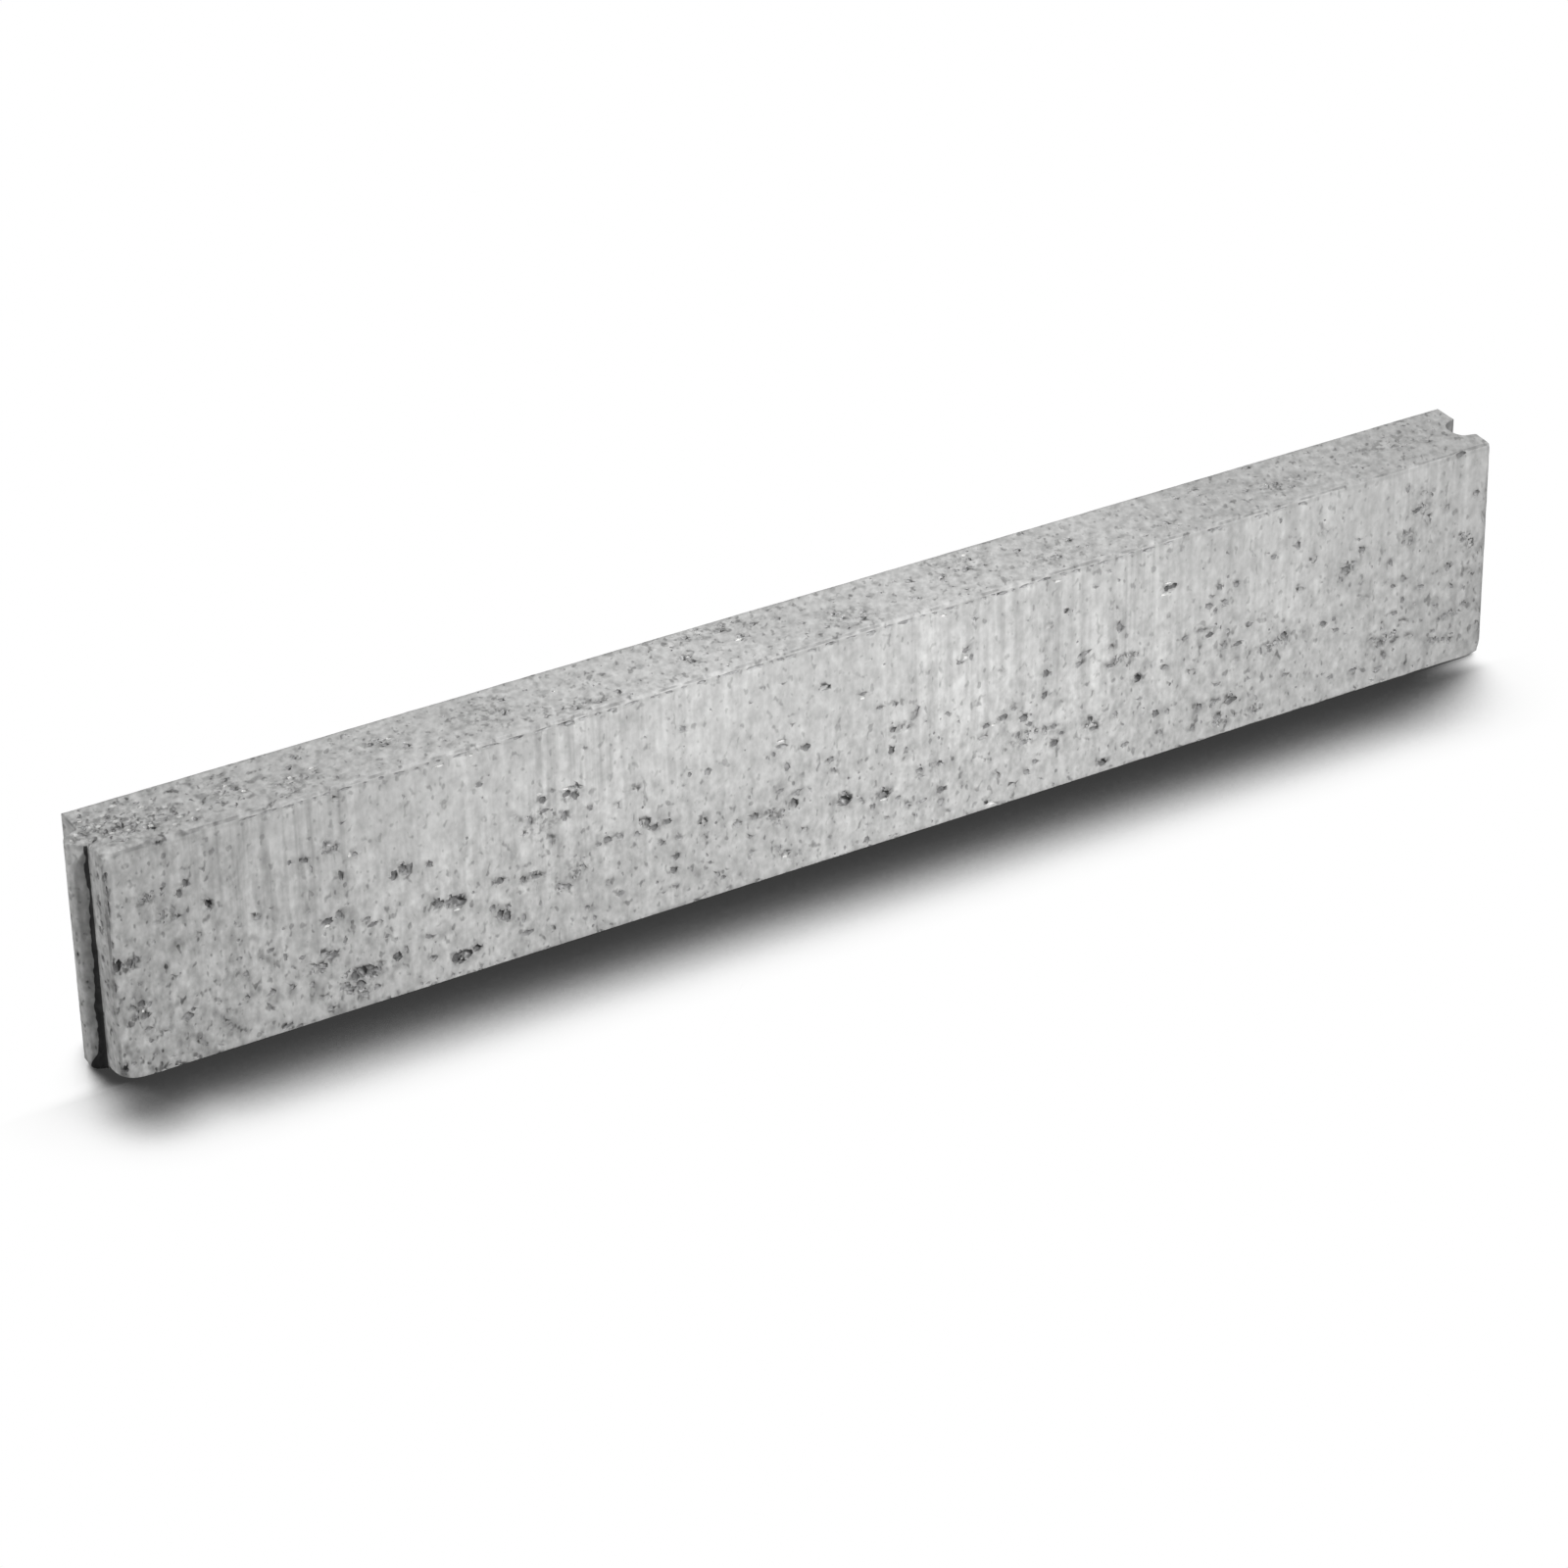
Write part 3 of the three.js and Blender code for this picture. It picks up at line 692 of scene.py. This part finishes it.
feed(grain, grain.nodes.new("NodeGroupOutput"), {"Tone": math(grain, "SUBTRACT", tone, pinholes),
                                                 "Height": math(grain, "SUBTRACT", relief, pinholes)})


def sand_and_paste(tree, place, sand, blotches, pinholes):
    made = node(tree, "ShaderNodeGroup", node_tree=grain)
    feed(tree, made, {"Place": place, "Sand": sand, "Blotches": blotches, "Pinholes": pinholes})
    return made.outputs["Tone"], made.outputs["Height"]


def finish_surface(tree, colour, tone, roughness, relief, strength, depth):
    """The toned colour, the roughness and the bump of a surface."""
    toned = node(tree, "ShaderNodeVectorMath", {0: colour, 1: tone}, operation="MULTIPLY")
    bump = node(tree, "ShaderNodeBump", {"Strength": strength, "Distance": depth, "Height": relief})
    feed(tree, tree.nodes["Principled BSDF"], {"Base Color": toned.outputs[0], "Roughness": roughness,
                                               "Normal": bump.outputs[0]})


PASTE = (0.50, 0.50, 0.495, 1.0)
FRESH_PASTE_AND_HIGHLIGHT = (0.64, 0.64, 0.63)
# The colour of the painted shade in the groove and at the root of the tongue.
PAINTED_SHADE_COLOUR = (0.012, 0.012, 0.012, 1.0)
SAND_TURN, SAND_STRETCH = -0.5, (0.95, 1.5, 1.5)
left, right = left_shoulder, right_shoulder
skin.use_nodes = True
tree = skin.node_tree
coords = node(tree, "ShaderNodeTexCoord")
place = coords.outputs["Object"]
along, across, height = node(tree, "ShaderNodeSeparateXYZ", {0: place}).outputs
facing = node(tree, "ShaderNodeVectorMath", {0: coords.outputs["Normal"]}, operation="ABSOLUTE").outputs[0]
facing_x, facing_y, facing_z = node(tree, "ShaderNodeSeparateXYZ", {0: facing}).outputs
drawn_out = node(tree, "ShaderNodeMapping", {"Vector": place, "Rotation": (0, 0, SAND_TURN),
                                             "Scale": SAND_STRETCH}, vector_type="TEXTURE").outputs[0]
tone, relief = sand_and_paste(tree, drawn_out, sand=0.42, blotches=0.75, pinholes=0.36)


def by_face(on_sides, on_top):
    """One level on the upright faces, and another on the top and the bed."""
    return ramp(tree, facing_z, 0.3, 0.7, on_sides, on_top)


# The lower part, the top and the left end are sandier than the rest.
low_down = ramp(tree, height, 50 * MM, 120 * MM, at_start=1.1, at_end=0.8)
sandy = times(tree, by_face(on_sides=low_down, on_top=1.12),
              ramp(tree, along, left, left + 130 * MM, at_start=1.5, at_end=1.0))
tone = math(tree, "ADD", times(tree, math(tree, "SUBTRACT", tone, 1.0), sandy), 1.0)

# Soft dark marks where the paste hasn't quite closed up: most on the lower half, the left end and the top.
MARK_SHADE, MARK_DEPTH = 0.28, 2.0
marks = fade(tree, speckle(tree, place, scale=125.0, stretch=(1, 1, 0.5), detail=1.0), 0.30, 0.46)
marked = times(tree, by_face(on_sides=ramp(tree, height, 60 * MM, 130 * MM, at_start=1.0, at_end=0.3),
                             on_top=ramp(tree, along, 100 * MM, 400 * MM, at_start=1.3, at_end=0.8)),
               ramp(tree, along, left + 80 * MM, left + 220 * MM, at_start=1.0, at_end=0.5),
               ramp(tree, along, left - 1 * MM, left, at_start=1.3, at_end=1.0))
marks = times(tree, marks, times(tree, marked, MARK_SHADE))
tone = math(tree, "SUBTRACT", tone, marks)
relief = math(tree, "SUBTRACT", relief, times(tree, marks, MARK_DEPTH))

# Upright streaks on the sides, strongest in the upper half and in some lengths more than others.
NARROW_SHARE = 0.5
STREAK_CONTRAST, PALEST_STREAK, STREAK_DEPTH = 1.02, 0.12, 0.8
CALM_MIDDLE = -50 * MM
side = by_face(on_sides=1.0, on_top=0.0)
low_down = ramp(tree, along, -20 * MM, 60 * MM, at_start=0.42, at_end=0.22)
upper = ramp(tree, height, 30 * MM, 110 * MM, at_start=low_down)
from_middle = math(tree, "ABSOLUTE", math(tree, "ADD", along, -CALM_MIDDLE))
here_and_there = speckle(tree, place, scale=14.0, stretch=(1, 1, 0.5), detail=1.0)
some = times(tree, ramp(tree, here_and_there, 0.35, 0.62, at_start=0.35),
             ramp(tree, along, left, left + 90 * MM, at_start=0.45),
             ramp(tree, along, right - 80 * MM, right - 30 * MM, at_start=1.0, at_end=0.5),
             ramp(tree, from_middle, 70 * MM, 140 * MM, at_start=0.5))
broad = speckle(tree, place, scale=140.0, stretch=(1, 1, 0.055), detail=1.5)
narrow = speckle(tree, place, scale=380.0, stretch=(1, 1, 0.05), detail=1.0)
both = math(tree, "ADD", math(tree, "SUBTRACT", broad, 0.5),
            times(tree, math(tree, "SUBTRACT", narrow, 0.5), NARROW_SHARE))
streak = times(tree, both, times(tree, side, upper, some))
streak = math(tree, "MINIMUM", streak, PALEST_STREAK)
tone = times(tree, tone, math(tree, "ADD", times(tree, streak, STREAK_CONTRAST), 1.0))
relief = math(tree, "ADD", relief, times(tree, streak, STREAK_DEPTH))

# Slow changes of tone, darker towards the bottom, painted shade round the nests, and dust and painted shade.
NEST_SHADE_DARKNESS = 0.45
slow = ramp(tree, speckle(tree, place, scale=9.0), 0.3, 0.7, at_start=0.93, at_end=1.05)
darker_low = ramp(tree, height, 0.0, 110 * MM, at_start=0.91)
patches = ramp(tree, speckle(tree, place, scale=260.0), 0.46, 0.66, at_end=NEST_SHADE_DARKNESS)
specks = ramp(tree, speckle(tree, place, scale=200.0), 0.35, 0.65, at_start=0.10, at_end=0.38)
tone = times(tree, tone, slow, darker_low)
tone = darken(tree, tone, times(tree, painted(tree, "nest_shade"), patches))
tone = darken(tree, tone, times(tree, painted(tree, "dust_and_shade"), specks))

# The top is paler, except at its right end, where it is a little darker.
top_tone_along = ramp(tree, along, 200 * MM, 340 * MM, at_start=1.065, at_end=0.965)
tone = times(tree, tone, by_face(on_sides=1.0, on_top=top_tone_along))

# The arrises are worn rough and darker, partly wear and partly painted shade, and the back edge of the top
# and the right end get painted shade.
BACK_EDGE_SHADE = 0.11
flattest = math(tree, "MAXIMUM", math(tree, "MAXIMUM", facing_x, facing_y), facing_z)
wear_and_edge_shade = times(tree, ramp(tree, flattest, 0.96, 0.80), ramp(tree, along, left - 1 * MM, left),
             ramp(tree, speckle(tree, place, scale=90.0), 0.40, 0.60, at_start=0.07, at_end=0.40))
shaded_back_edge = times(tree, ramp(tree, across, back - 5 * MM, back - 2 * MM, at_end=BACK_EDGE_SHADE),
                  ramp(tree, facing_z, 0.2, 0.5))
shaded_far_end = times(tree, ramp(tree, along, right - 4 * MM, right - 1.5 * MM), side,
                ramp(tree, speckle(tree, place, scale=60.0), 0.38, 0.58, at_start=0.08, at_end=0.32))
wear_and_edge_shade = math(tree, "MAXIMUM", math(tree, "MAXIMUM", wear_and_edge_shade, shaded_back_edge), shaded_far_end)
tone = darken(tree, tone, wear_and_edge_shade)

# Painted shade: a soft darker line along the sides just under the top, where the arris turns from the light.
SHADE_BAND_LEVEL, SHADE_BAND_WAVE, SHADE_BAND_DARKNESS = top - 3.4 * MM, 4 * MM, 0.10
wavy = times(tree, math(tree, "SUBTRACT", speckle(tree, place, scale=60.0), 0.5), SHADE_BAND_WAVE)
from_shade_band = math(tree, "ABSOLUTE", math(tree, "ADD", math(tree, "SUBTRACT", height, SHADE_BAND_LEVEL), wavy))
shade_band = times(tree, fade(tree, from_shade_band, 0.6 * MM, 2.4 * MM, SHADE_BAND_DARKNESS), side,
                 ramp(tree, along, left - 1 * MM, left))
tone = darken(tree, tone, shade_band)

# Painted shade in the groove and along the root of the tongue, where it widens towards the ground.
JOINT_LINE = front + 28 * MM
RAGGED = 0.9 * MM
GROOVE_SHADE, ROOT_HALO_SHADE = 0.5, 0.35
ragged = ramp(tree, speckle(tree, place, scale=110.0, stretch=(1, 1, 0.7)), 0.3, 0.7, -RAGGED, RAGGED)
towards_root = math(tree, "ADD", along, ragged)
for start, end, wider in ((0.0, 140 * MM, 2.8 * MM), (2 * MM, 14 * MM, 4.5 * MM)):
    towards_root = math(tree, "ADD", towards_root, fade(tree, height, start, end, wider))
root = math(tree, "MAXIMUM", ramp(tree, towards_root, left - 2.8 * MM, left - 1.8 * MM),
            ramp(tree, towards_root, left - 6 * MM, left - 2.2 * MM, at_end=ROOT_HALO_SHADE))
root = times(tree, root, fade(tree, along, left - 0.4 * MM, left))
from_joint = math(tree, "ABSOLUTE", math(tree, "SUBTRACT", across, JOINT_LINE))
groove = times(tree, ramp(tree, along, right - 15 * MM, right - 14 * MM),
               fade(tree, from_joint, 13 * MM, 16 * MM, GROOVE_SHADE))
painted_shade = times(tree, math(tree, "MAXIMUM", root, groove), side)
colour = node(tree, "ShaderNodeMix", {0: painted_shade, 6: PASTE, 7: PAINTED_SHADE_COLOUR}, data_type="RGBA").outputs[2]
roughness = ramp(tree, tone, 0.8, 1.15, at_start=0.95, at_end=0.82)
finish_surface(tree, colour, tone, roughness, relief, strength=0.5, depth=0.5 * MM)

# The walls of the voids are painted darker for painted shade: a little paler on the ledges that face up,
# as painted light, and darkest in the holes with the most dust and painted shade.
void_wall.use_nodes = True
tree = void_wall.node_tree
coords = node(tree, "ShaderNodeTexCoord")
tone, relief = sand_and_paste(tree, coords.outputs["Object"], sand=1.6, blotches=0.9, pinholes=0.3)
facing_up = node(tree, "ShaderNodeSeparateXYZ", {0: coords.outputs["Normal"]}).outputs["Z"]
grey = times(tree, ramp(tree, facing_up, 0.3, 0.9, at_start=0.32, at_end=0.42),
             ramp(tree, painted(tree, "dust_and_shade"), 0.3, 1.3, at_start=1.0, at_end=0.38))
finish_surface(tree, grey, tone, roughness=0.96, relief=relief, strength=0.9, depth=0.8 * MM)

# The flakes, where the fresh concrete is paler than the skin; the paleness is partly a painted highlight.
fresh_and_highlight.use_nodes = True
tree = fresh_and_highlight.node_tree
place = node(tree, "ShaderNodeTexCoord").outputs["Object"]
tone, relief = sand_and_paste(tree, place, sand=0.8, blotches=0.5, pinholes=0.1)
finish_surface(tree, FRESH_PASTE_AND_HIGHLIGHT, tone, roughness=0.9, relief=relief, strength=0.7, depth=0.6 * MM)


# ---------------------------------------------------------------------------------------------
# The stage. A white floor with the stone's soft contact shadow painted in, and the room round it is white.
# Four lamps light the stone: in front, at its left end, high behind it, and low behind its right.
# ---------------------------------------------------------------------------------------------
FLOOR_HALF = 20.0
floor_bm = bmesh.new()
bmesh.ops.create_grid(floor_bm, x_segments=1, y_segments=1, size=FLOOR_HALF)
floor_mesh = bpy.data.meshes.new("floor")
floor_bm.to_mesh(floor_mesh)
floor_bm.free()
floor = bpy.data.objects.new("floor", floor_mesh)
bpy.context.scene.collection.objects.link(floor)


def background_rays(tree):
    """1 for what the camera sees straight on, mirrored or through glass, and 0 for the light on things."""
    path = node(tree, "ShaderNodeLightPath")
    seen = math(tree, "MAXIMUM", path.outputs["Is Camera Ray"], path.outputs["Is Glossy Ray"])
    return math(tree, "MAXIMUM", seen, path.outputs["Is Transmission Ray"])


# The floor's shadow is painted into its glow from what the stone hides of a sky leaning to behind the stone
# and its right. The painted shadow is a little deeper in front of the left end, and painted lighter round the
# right foot and the tongue.
TOWARDS_LIGHT = Vector((2.0, 3.0, 1.0)).normalized()
SHADOW_REACH = 115 * MM
CORNER_LIGHT, FOOT_LIGHT, TONGUE_LIGHT = -0.09, 0.15, 0.16
paper = bpy.data.materials.new("white_floor")
paper.use_nodes = True
tree = paper.node_tree
tree.nodes.clear()
lean = node(tree, "ShaderNodeCombineXYZ", dict(zip("XYZ", TOWARDS_LIGHT)))
open_sky = node(tree, "ShaderNodeAmbientOcclusion", {"Distance": SHADOW_REACH, "Normal": lean.outputs[0]},
                samples=48).outputs["AO"]
place = node(tree, "ShaderNodeTexCoord").outputs["Object"]
floor_x, floor_y, _ = node(tree, "ShaderNodeSeparateXYZ", {0: place}).outputs
from_corner = math(tree, "ABSOLUTE", math(tree, "SUBTRACT", floor_x, left_shoulder - 3 * MM))
deeper = times(tree, fade(tree, from_corner, 0.0, 46 * MM, CORNER_LIGHT),
               fade(tree, floor_y, -68 * MM, -32 * MM), ramp(tree, floor_y, -120 * MM, -80 * MM, at_start=0.3))
at_foot = times(tree, ramp(tree, floor_x, 430 * MM, 490 * MM, at_end=FOOT_LIGHT),
                ramp(tree, floor_y, -48 * MM, -32 * MM))
at_tongue = times(tree, fade(tree, floor_x, -535 * MM, -490 * MM, TONGUE_LIGHT),
                  ramp(tree, floor_y, -34 * MM, -18 * MM))
open_sky = math(tree, "ADD", open_sky, math(tree, "ADD", deeper, math(tree, "ADD", at_foot, at_tongue)))

# How bright the paper is for each share of open sky.
SHADE = ((0.48, 0.043), (0.52, 0.074), (0.57, 0.179), (0.62, 0.39), (0.68, 0.605), (0.74, 0.821), (0.82, 0.956),
         (0.92, 1.0))
shade = node(tree, "ShaderNodeValToRGB", {0: open_sky})
stops = shade.color_ramp.elements
for number, (position, level) in enumerate(SHADE):
    stop = stops[number] if number < 2 else stops.new(position)
    stop.position = position
    stop.color = (level, level, level, 1.0)

# Past the reach of the shadow the floor is plain white, and to the lamps it is grey all over.
WHITE, GREY = (1.0, 1.0, 1.0, 1.0), (0.40, 0.40, 0.40, 1.0)
shaded = node(tree, "ShaderNodeEmission", {"Color": shade.outputs[0]})
white = node(tree, "ShaderNodeEmission", {"Color": WHITE})
past_end = math(tree, "SUBTRACT", math(tree, "ABSOLUTE", floor_x), right_shoulder)
past_side = math(tree, "SUBTRACT", math(tree, "ABSOLUTE", floor_y), back)
clear = math(tree, "GREATER_THAN", math(tree, "MAXIMUM", past_end, past_side), 1.2 * SHADOW_REACH)
bright = node(tree, "ShaderNodeMixShader", {0: clear, 1: shaded.outputs[0], 2: white.outputs[0]})
plain = node(tree, "ShaderNodeBsdfDiffuse", {"Color": GREY})
either = node(tree, "ShaderNodeMixShader", {0: background_rays(tree), 1: plain.outputs[0],
                                            2: bright.outputs[0]})
node(tree, "ShaderNodeOutputMaterial", {0: either.outputs[0]})
floor_mesh.materials.append(paper)

# The room gives little light, but it is seen as white.
ROOM_LIGHT, ROOM_SEEN = 0.17, 1.0
world = bpy.data.worlds.new("white_room")
world.use_nodes = True
bpy.context.scene.world = world
tree = world.node_tree
tree.nodes.clear()
brightness = ramp(tree, background_rays(tree), 0.0, 1.0, ROOM_LIGHT, ROOM_SEEN)
room = node(tree, "ShaderNodeBackground", {"Strength": brightness})
node(tree, "ShaderNodeOutputWorld", {0: room.outputs[0]})


def lamp(name, place, aim, size, power, spread=180.0):
    light = bpy.data.lights.new(name, "AREA")
    light.shape = "DISK"
    light.size = size
    light.energy = power
    light.spread = radians(spread)
    thing = bpy.data.objects.new(name, light)
    sight = Vector(aim) - Vector(place)
    thing.matrix_world = Matrix.Translation(place) @ sight.to_track_quat("-Z", "Y").to_matrix().to_4x4()
    bpy.context.scene.collection.objects.link(thing)


lamp("front_lamp", (0.6, -2.2, 1.75), aim=(0.01, 0.0, 0.10), size=0.5, power=6.9, spread=50.0)
lamp("left_lamp", (-2.0, 0.22, 0.55), aim=(-0.3, 0.0, 0.08), size=0.5, power=11.6)
lamp("back_lamp", (-0.9, 1.1, 2.5), aim=(-0.2, 0.0, 0.08), size=1.0, power=5.4)
lamp("right_rear_lamp", (1.5, 1.9, 0.7), aim=(0.1, 0.0, 0.08), size=0.6, power=17.0)


# ---------------------------------------------------------------------------------------------
# The camera. From three and a half metres away it looks down on the front and the left end,
# a little tilted, through a long lens.
# ---------------------------------------------------------------------------------------------
CAMERA_PLACE = Vector((-1.4902, -2.6190, 1.8442))
AZIMUTH, ELEVATION, ROLL = 0.51029, 0.53986, -0.02054
SENSOR_MM, LENS_MM = 36.0, 126.36
lens = bpy.data.cameras.new("camera")
lens.sensor_width = SENSOR_MM
lens.lens = LENS_MM
camera = bpy.data.objects.new("camera", lens)
camera.matrix_world = (Matrix.Translation(CAMERA_PLACE) @ Matrix.Rotation(-AZIMUTH, 4, "Z")
                       @ Matrix.Rotation(pi / 2 - ELEVATION, 4, "X") @ Matrix.Rotation(ROLL, 4, "Z"))
bpy.context.scene.collection.objects.link(camera)
bpy.context.scene.camera = camera
bpy.context.scene.view_settings.view_transform = "Standard"
